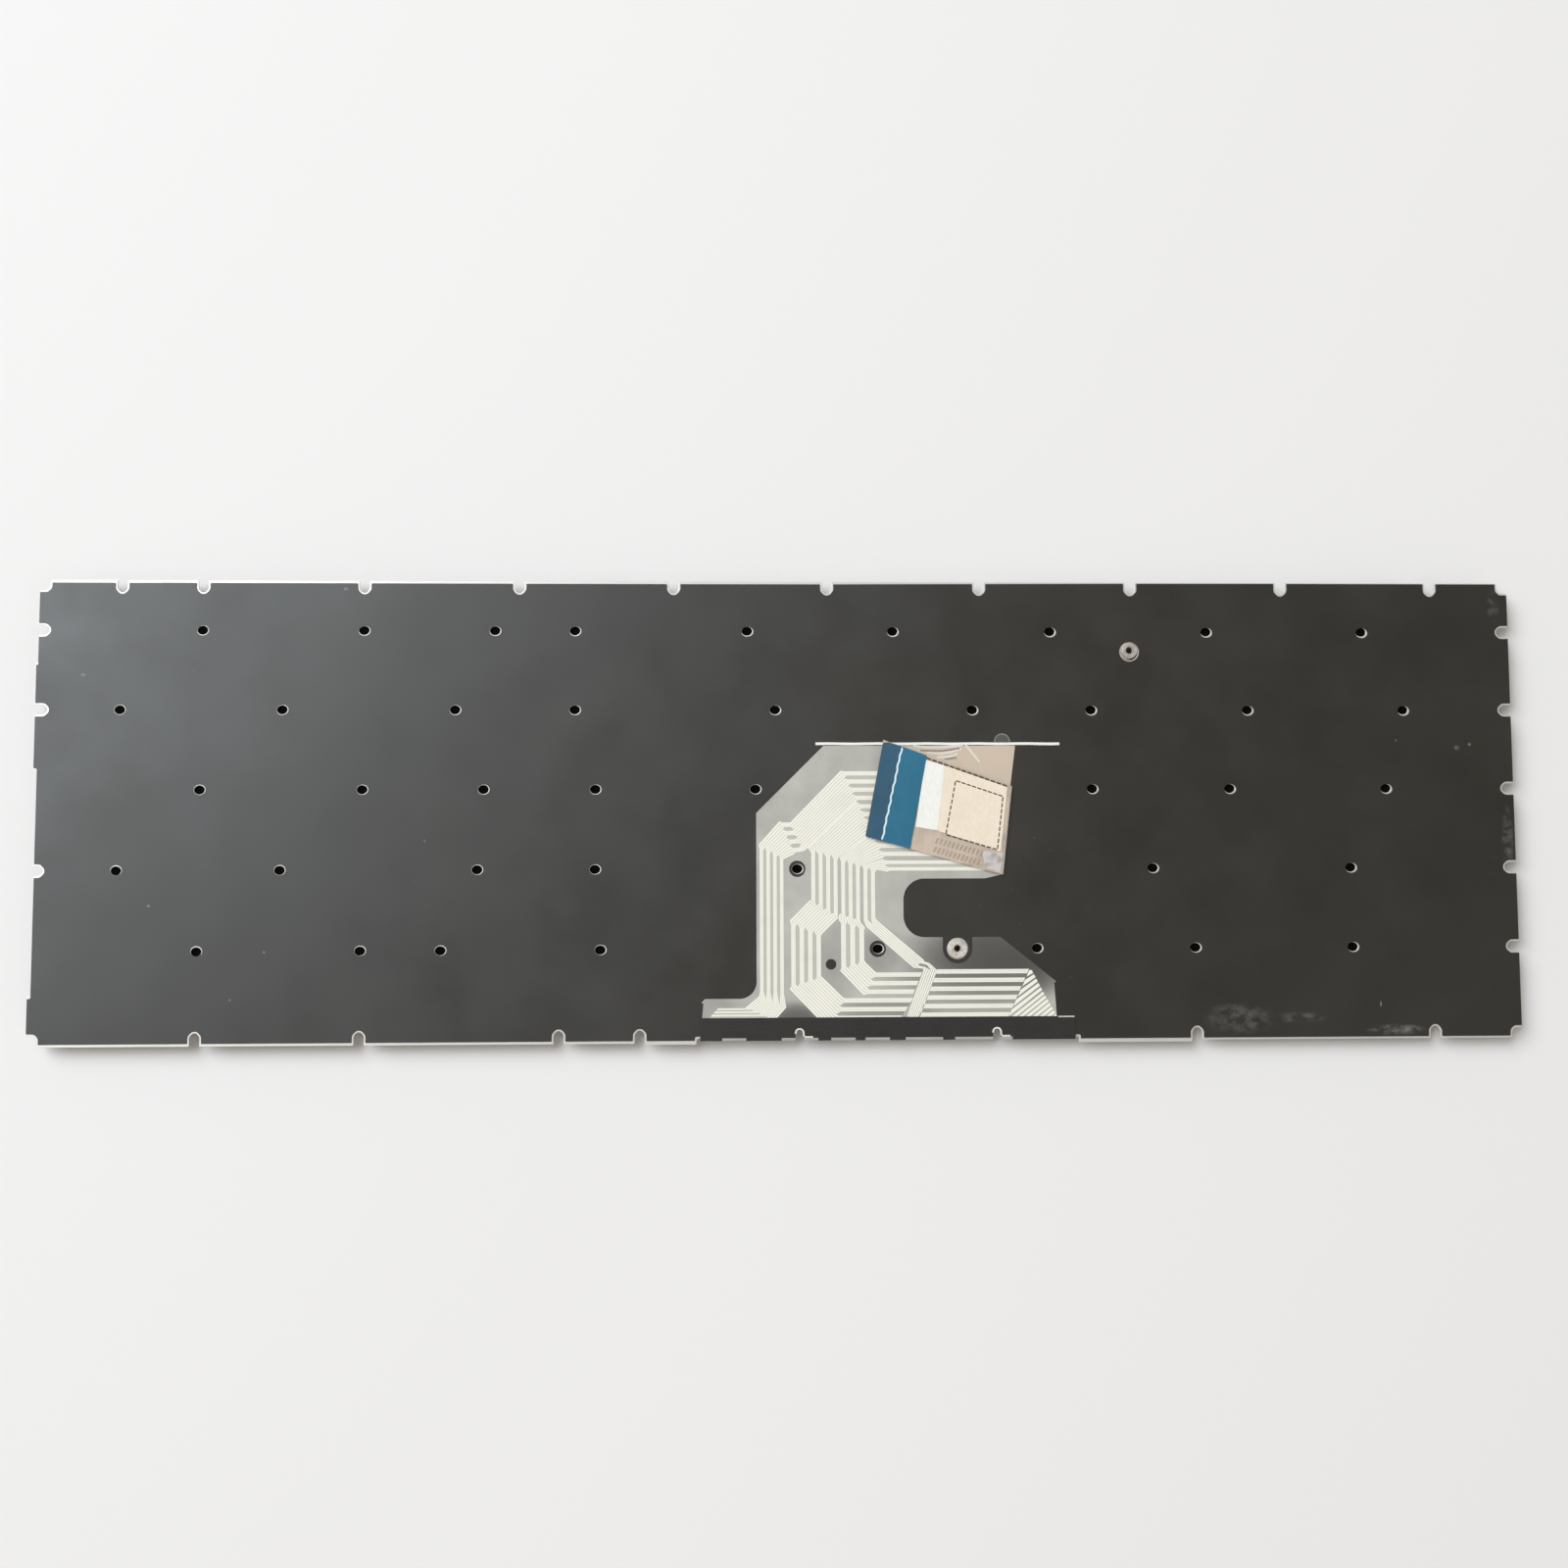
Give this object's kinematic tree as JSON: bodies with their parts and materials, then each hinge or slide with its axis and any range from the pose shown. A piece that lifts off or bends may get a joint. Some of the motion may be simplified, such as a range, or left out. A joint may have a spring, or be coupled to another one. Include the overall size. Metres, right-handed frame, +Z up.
{
  "type": "laptop keyboard",
  "caption": "Laptop replacement keyboard, face down: sprung keys on a thin steel plate with a black back film, screw bosses and a clear folded ribbon tail with a blue stiff end.",
  "frame": {"origin": "middle of the keyboard's outline, on the surface that the keycaps rest on", "axes": "+X along the rows of keys to the typist's left, +Y to the far edge with the function row, +Z up out of the back, as the keyboard lies face down"},
  "size_m": [0.353, 0.1102, 0.0055],
  "materials": {
    "keycap_black": "fine matt texture",
    "dome_rubber": "soft, slightly translucent",
    "link_plastic": "smooth moulded",
    "bar_steel": "drawn wire",
    "plate_steel": "bright rolled sheet",
    "film_black": "satin film with light scuffs",
    "boss_steel": "turned, bright",
    "membrane_film": "clear grey film with printed silver tracks",
    "stiffener_blue": "satin blue",
    "label_paper": "white and cream paper",
    "tape_black": "matt black tape",
    "tape_white": "white tape"
  },
  "bodies": {
    "base": {"function_row_keycaps": "keycap_black", "symbol_keycaps": "keycap_black", "modifier_keycaps": "keycap_black", "arrow_keycaps": "keycap_black", "numpad_keycaps": "keycap_black", "rubber_domes": "dome_rubber", "scissor_outer_links": "link_plastic", "scissor_inner_links": "link_plastic", "stabiliser_bars": "bar_steel", "support_plate": "plate_steel", "back_film": "film_black", "screw_bosses": "boss_steel", "membrane_circuit": "membrane_film", "tail_stiffener": "stiffener_blue", "tail_label": "label_paper", "tail_cover_tape": "tape_black", "white_tape_strip": "tape_white"},
    "key_0": {"keycap_0": "keycap_black"},
    "key_1": {"keycap_1": "keycap_black"},
    "key_2": {"keycap_2": "keycap_black"},
    "key_3": {"keycap_3": "keycap_black"},
    "key_4": {"keycap_4": "keycap_black"},
    "key_5": {"keycap_5": "keycap_black"},
    "key_6": {"keycap_6": "keycap_black"},
    "key_7": {"keycap_7": "keycap_black"},
    "key_8": {"keycap_8": "keycap_black"},
    "key_9": {"keycap_9": "keycap_black"},
    "key_a": {"keycap_a": "keycap_black"},
    "key_b": {"keycap_b": "keycap_black"},
    "key_backspace": {"keycap_backspace": "keycap_black"},
    "key_c": {"keycap_c": "keycap_black"},
    "key_caps_lock": {"keycap_caps_lock": "keycap_black"},
    "key_d": {"keycap_d": "keycap_black"},
    "key_e": {"keycap_e": "keycap_black"},
    "key_enter": {"keycap_enter": "keycap_black"},
    "key_f": {"keycap_f": "keycap_black"},
    "key_g": {"keycap_g": "keycap_black"},
    "key_h": {"keycap_h": "keycap_black"},
    "key_i": {"keycap_i": "keycap_black"},
    "key_j": {"keycap_j": "keycap_black"},
    "key_k": {"keycap_k": "keycap_black"},
    "key_l": {"keycap_l": "keycap_black"},
    "key_left_shift": {"keycap_left_shift": "keycap_black"},
    "key_m": {"keycap_m": "keycap_black"},
    "key_n": {"keycap_n": "keycap_black"},
    "key_o": {"keycap_o": "keycap_black"},
    "key_p": {"keycap_p": "keycap_black"},
    "key_q": {"keycap_q": "keycap_black"},
    "key_r": {"keycap_r": "keycap_black"},
    "key_right_shift": {"keycap_right_shift": "keycap_black"},
    "key_s": {"keycap_s": "keycap_black"},
    "key_space": {"keycap_space": "keycap_black"},
    "key_t": {"keycap_t": "keycap_black"},
    "key_tab": {"keycap_tab": "keycap_black"},
    "key_u": {"keycap_u": "keycap_black"},
    "key_v": {"keycap_v": "keycap_black"},
    "key_w": {"keycap_w": "keycap_black"},
    "key_x": {"keycap_x": "keycap_black"},
    "key_y": {"keycap_y": "keycap_black"},
    "key_z": {"keycap_z": "keycap_black"}
  },
  "joints": [
    {"name": "press_0", "type": "slide", "parent": "base", "child": "key_0", "axis": [0, 0, 1], "range_m": [0, 0.0015], "stiffness_N_per_m": 400, "deforming": ["rubber_domes", "scissor_outer_links", "scissor_inner_links", "stabiliser_bars"]},
    {"name": "press_1", "type": "slide", "parent": "base", "child": "key_1", "axis": [0, 0, 1], "range_m": [0, 0.0015], "stiffness_N_per_m": 400, "deforming": ["rubber_domes", "scissor_outer_links", "scissor_inner_links", "stabiliser_bars"]},
    {"name": "press_2", "type": "slide", "parent": "base", "child": "key_2", "axis": [0, 0, 1], "range_m": [0, 0.0015], "stiffness_N_per_m": 400, "deforming": ["rubber_domes", "scissor_outer_links", "scissor_inner_links", "stabiliser_bars"]},
    {"name": "press_3", "type": "slide", "parent": "base", "child": "key_3", "axis": [0, 0, 1], "range_m": [0, 0.0015], "stiffness_N_per_m": 400, "deforming": ["rubber_domes", "scissor_outer_links", "scissor_inner_links", "stabiliser_bars"]},
    {"name": "press_4", "type": "slide", "parent": "base", "child": "key_4", "axis": [0, 0, 1], "range_m": [0, 0.0015], "stiffness_N_per_m": 400, "deforming": ["rubber_domes", "scissor_outer_links", "scissor_inner_links", "stabiliser_bars"]},
    {"name": "press_5", "type": "slide", "parent": "base", "child": "key_5", "axis": [0, 0, 1], "range_m": [0, 0.0015], "stiffness_N_per_m": 400, "deforming": ["rubber_domes", "scissor_outer_links", "scissor_inner_links", "stabiliser_bars"]},
    {"name": "press_6", "type": "slide", "parent": "base", "child": "key_6", "axis": [0, 0, 1], "range_m": [0, 0.0015], "stiffness_N_per_m": 400, "deforming": ["rubber_domes", "scissor_outer_links", "scissor_inner_links", "stabiliser_bars"]},
    {"name": "press_7", "type": "slide", "parent": "base", "child": "key_7", "axis": [0, 0, 1], "range_m": [0, 0.0015], "stiffness_N_per_m": 400, "deforming": ["rubber_domes", "scissor_outer_links", "scissor_inner_links", "stabiliser_bars"]},
    {"name": "press_8", "type": "slide", "parent": "base", "child": "key_8", "axis": [0, 0, 1], "range_m": [0, 0.0015], "stiffness_N_per_m": 400, "deforming": ["rubber_domes", "scissor_outer_links", "scissor_inner_links", "stabiliser_bars"]},
    {"name": "press_9", "type": "slide", "parent": "base", "child": "key_9", "axis": [0, 0, 1], "range_m": [0, 0.0015], "stiffness_N_per_m": 400, "deforming": ["rubber_domes", "scissor_outer_links", "scissor_inner_links", "stabiliser_bars"]},
    {"name": "press_a", "type": "slide", "parent": "base", "child": "key_a", "axis": [0, 0, 1], "range_m": [0, 0.0015], "stiffness_N_per_m": 400, "deforming": ["rubber_domes", "scissor_outer_links", "scissor_inner_links", "stabiliser_bars"]},
    {"name": "press_b", "type": "slide", "parent": "base", "child": "key_b", "axis": [0, 0, 1], "range_m": [0, 0.0015], "stiffness_N_per_m": 400, "deforming": ["rubber_domes", "scissor_outer_links", "scissor_inner_links", "stabiliser_bars"]},
    {"name": "press_backspace", "type": "slide", "parent": "base", "child": "key_backspace", "axis": [0, 0, 1], "range_m": [0, 0.0015], "stiffness_N_per_m": 400, "deforming": ["rubber_domes", "scissor_outer_links", "scissor_inner_links", "stabiliser_bars"]},
    {"name": "press_c", "type": "slide", "parent": "base", "child": "key_c", "axis": [0, 0, 1], "range_m": [0, 0.0015], "stiffness_N_per_m": 400, "deforming": ["rubber_domes", "scissor_outer_links", "scissor_inner_links", "stabiliser_bars"]},
    {"name": "press_caps_lock", "type": "slide", "parent": "base", "child": "key_caps_lock", "axis": [0, 0, 1], "range_m": [0, 0.0015], "stiffness_N_per_m": 400, "deforming": ["rubber_domes", "scissor_outer_links", "scissor_inner_links", "stabiliser_bars"]},
    {"name": "press_d", "type": "slide", "parent": "base", "child": "key_d", "axis": [0, 0, 1], "range_m": [0, 0.0015], "stiffness_N_per_m": 400, "deforming": ["rubber_domes", "scissor_outer_links", "scissor_inner_links", "stabiliser_bars"]},
    {"name": "press_e", "type": "slide", "parent": "base", "child": "key_e", "axis": [0, 0, 1], "range_m": [0, 0.0015], "stiffness_N_per_m": 400, "deforming": ["rubber_domes", "scissor_outer_links", "scissor_inner_links", "stabiliser_bars"]},
    {"name": "press_enter", "type": "slide", "parent": "base", "child": "key_enter", "axis": [0, 0, 1], "range_m": [0, 0.0015], "stiffness_N_per_m": 400, "deforming": ["rubber_domes", "scissor_outer_links", "scissor_inner_links", "stabiliser_bars"]},
    {"name": "press_f", "type": "slide", "parent": "base", "child": "key_f", "axis": [0, 0, 1], "range_m": [0, 0.0015], "stiffness_N_per_m": 400, "deforming": ["rubber_domes", "scissor_outer_links", "scissor_inner_links", "stabiliser_bars"]},
    {"name": "press_g", "type": "slide", "parent": "base", "child": "key_g", "axis": [0, 0, 1], "range_m": [0, 0.0015], "stiffness_N_per_m": 400, "deforming": ["rubber_domes", "scissor_outer_links", "scissor_inner_links", "stabiliser_bars"]},
    {"name": "press_h", "type": "slide", "parent": "base", "child": "key_h", "axis": [0, 0, 1], "range_m": [0, 0.0015], "stiffness_N_per_m": 400, "deforming": ["rubber_domes", "scissor_outer_links", "scissor_inner_links", "stabiliser_bars"]},
    {"name": "press_i", "type": "slide", "parent": "base", "child": "key_i", "axis": [0, 0, 1], "range_m": [0, 0.0015], "stiffness_N_per_m": 400, "deforming": ["rubber_domes", "scissor_outer_links", "scissor_inner_links", "stabiliser_bars"]},
    {"name": "press_j", "type": "slide", "parent": "base", "child": "key_j", "axis": [0, 0, 1], "range_m": [0, 0.0015], "stiffness_N_per_m": 400, "deforming": ["rubber_domes", "scissor_outer_links", "scissor_inner_links", "stabiliser_bars"]},
    {"name": "press_k", "type": "slide", "parent": "base", "child": "key_k", "axis": [0, 0, 1], "range_m": [0, 0.0015], "stiffness_N_per_m": 400, "deforming": ["rubber_domes", "scissor_outer_links", "scissor_inner_links", "stabiliser_bars"]},
    {"name": "press_l", "type": "slide", "parent": "base", "child": "key_l", "axis": [0, 0, 1], "range_m": [0, 0.0015], "stiffness_N_per_m": 400, "deforming": ["rubber_domes", "scissor_outer_links", "scissor_inner_links", "stabiliser_bars"]},
    {"name": "press_left_shift", "type": "slide", "parent": "base", "child": "key_left_shift", "axis": [0, 0, 1], "range_m": [0, 0.0015], "stiffness_N_per_m": 400, "deforming": ["rubber_domes", "scissor_outer_links", "scissor_inner_links", "stabiliser_bars"]},
    {"name": "press_m", "type": "slide", "parent": "base", "child": "key_m", "axis": [0, 0, 1], "range_m": [0, 0.0015], "stiffness_N_per_m": 400, "deforming": ["rubber_domes", "scissor_outer_links", "scissor_inner_links", "stabiliser_bars"]},
    {"name": "press_n", "type": "slide", "parent": "base", "child": "key_n", "axis": [0, 0, 1], "range_m": [0, 0.0015], "stiffness_N_per_m": 400, "deforming": ["rubber_domes", "scissor_outer_links", "scissor_inner_links", "stabiliser_bars"]},
    {"name": "press_o", "type": "slide", "parent": "base", "child": "key_o", "axis": [0, 0, 1], "range_m": [0, 0.0015], "stiffness_N_per_m": 400, "deforming": ["rubber_domes", "scissor_outer_links", "scissor_inner_links", "stabiliser_bars"]},
    {"name": "press_p", "type": "slide", "parent": "base", "child": "key_p", "axis": [0, 0, 1], "range_m": [0, 0.0015], "stiffness_N_per_m": 400, "deforming": ["rubber_domes", "scissor_outer_links", "scissor_inner_links", "stabiliser_bars"]},
    {"name": "press_q", "type": "slide", "parent": "base", "child": "key_q", "axis": [0, 0, 1], "range_m": [0, 0.0015], "stiffness_N_per_m": 400, "deforming": ["rubber_domes", "scissor_outer_links", "scissor_inner_links", "stabiliser_bars"]},
    {"name": "press_r", "type": "slide", "parent": "base", "child": "key_r", "axis": [0, 0, 1], "range_m": [0, 0.0015], "stiffness_N_per_m": 400, "deforming": ["rubber_domes", "scissor_outer_links", "scissor_inner_links", "stabiliser_bars"]},
    {"name": "press_right_shift", "type": "slide", "parent": "base", "child": "key_right_shift", "axis": [0, 0, 1], "range_m": [0, 0.0015], "stiffness_N_per_m": 400, "deforming": ["rubber_domes", "scissor_outer_links", "scissor_inner_links", "stabiliser_bars"]},
    {"name": "press_s", "type": "slide", "parent": "base", "child": "key_s", "axis": [0, 0, 1], "range_m": [0, 0.0015], "stiffness_N_per_m": 400, "deforming": ["rubber_domes", "scissor_outer_links", "scissor_inner_links", "stabiliser_bars"]},
    {"name": "press_space", "type": "slide", "parent": "base", "child": "key_space", "axis": [0, 0, 1], "range_m": [0, 0.0015], "stiffness_N_per_m": 400, "deforming": ["rubber_domes", "scissor_outer_links", "scissor_inner_links", "stabiliser_bars"]},
    {"name": "press_t", "type": "slide", "parent": "base", "child": "key_t", "axis": [0, 0, 1], "range_m": [0, 0.0015], "stiffness_N_per_m": 400, "deforming": ["rubber_domes", "scissor_outer_links", "scissor_inner_links", "stabiliser_bars"]},
    {"name": "press_tab", "type": "slide", "parent": "base", "child": "key_tab", "axis": [0, 0, 1], "range_m": [0, 0.0015], "stiffness_N_per_m": 400, "deforming": ["rubber_domes", "scissor_outer_links", "scissor_inner_links", "stabiliser_bars"]},
    {"name": "press_u", "type": "slide", "parent": "base", "child": "key_u", "axis": [0, 0, 1], "range_m": [0, 0.0015], "stiffness_N_per_m": 400, "deforming": ["rubber_domes", "scissor_outer_links", "scissor_inner_links", "stabiliser_bars"]},
    {"name": "press_v", "type": "slide", "parent": "base", "child": "key_v", "axis": [0, 0, 1], "range_m": [0, 0.0015], "stiffness_N_per_m": 400, "deforming": ["rubber_domes", "scissor_outer_links", "scissor_inner_links", "stabiliser_bars"]},
    {"name": "press_w", "type": "slide", "parent": "base", "child": "key_w", "axis": [0, 0, 1], "range_m": [0, 0.0015], "stiffness_N_per_m": 400, "deforming": ["rubber_domes", "scissor_outer_links", "scissor_inner_links", "stabiliser_bars"]},
    {"name": "press_x", "type": "slide", "parent": "base", "child": "key_x", "axis": [0, 0, 1], "range_m": [0, 0.0015], "stiffness_N_per_m": 400, "deforming": ["rubber_domes", "scissor_outer_links", "scissor_inner_links", "stabiliser_bars"]},
    {"name": "press_y", "type": "slide", "parent": "base", "child": "key_y", "axis": [0, 0, 1], "range_m": [0, 0.0015], "stiffness_N_per_m": 400, "deforming": ["rubber_domes", "scissor_outer_links", "scissor_inner_links", "stabiliser_bars"]},
    {"name": "press_z", "type": "slide", "parent": "base", "child": "key_z", "axis": [0, 0, 1], "range_m": [0, 0.0015], "stiffness_N_per_m": 400, "deforming": ["rubber_domes", "scissor_outer_links", "scissor_inner_links", "stabiliser_bars"]}
  ]
}
